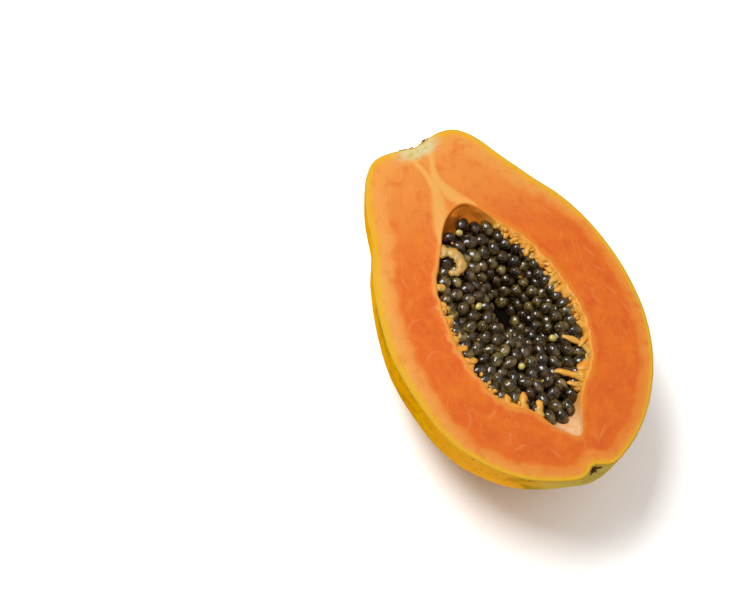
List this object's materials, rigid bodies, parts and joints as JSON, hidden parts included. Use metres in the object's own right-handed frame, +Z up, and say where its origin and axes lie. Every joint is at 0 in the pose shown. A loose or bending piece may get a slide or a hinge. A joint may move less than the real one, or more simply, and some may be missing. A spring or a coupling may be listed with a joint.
{
  "type": "papaya half",
  "caption": "Ripe papaya cut in half lengthways, lying on its back with the cut face and its seed-filled hollow up.",
  "frame": {"origin": "under the middle of the part's box, on the surface that it lies on", "axes": "+Y along the fruit to its stem end, +X across the cut face, +Z up, square to the cut face"},
  "size_m": [0.1174, 0.1674, 0.0568],
  "materials": {
    "flesh": "moist orange flesh, paler towards a thin golden skin with green patches",
    "seeds": "dark olive brown seeds, each in a clear glossy film"
  },
  "bodies": {
    "root": {"flesh": "flesh", "seeds": "seeds"}
  },
  "joints": []
}
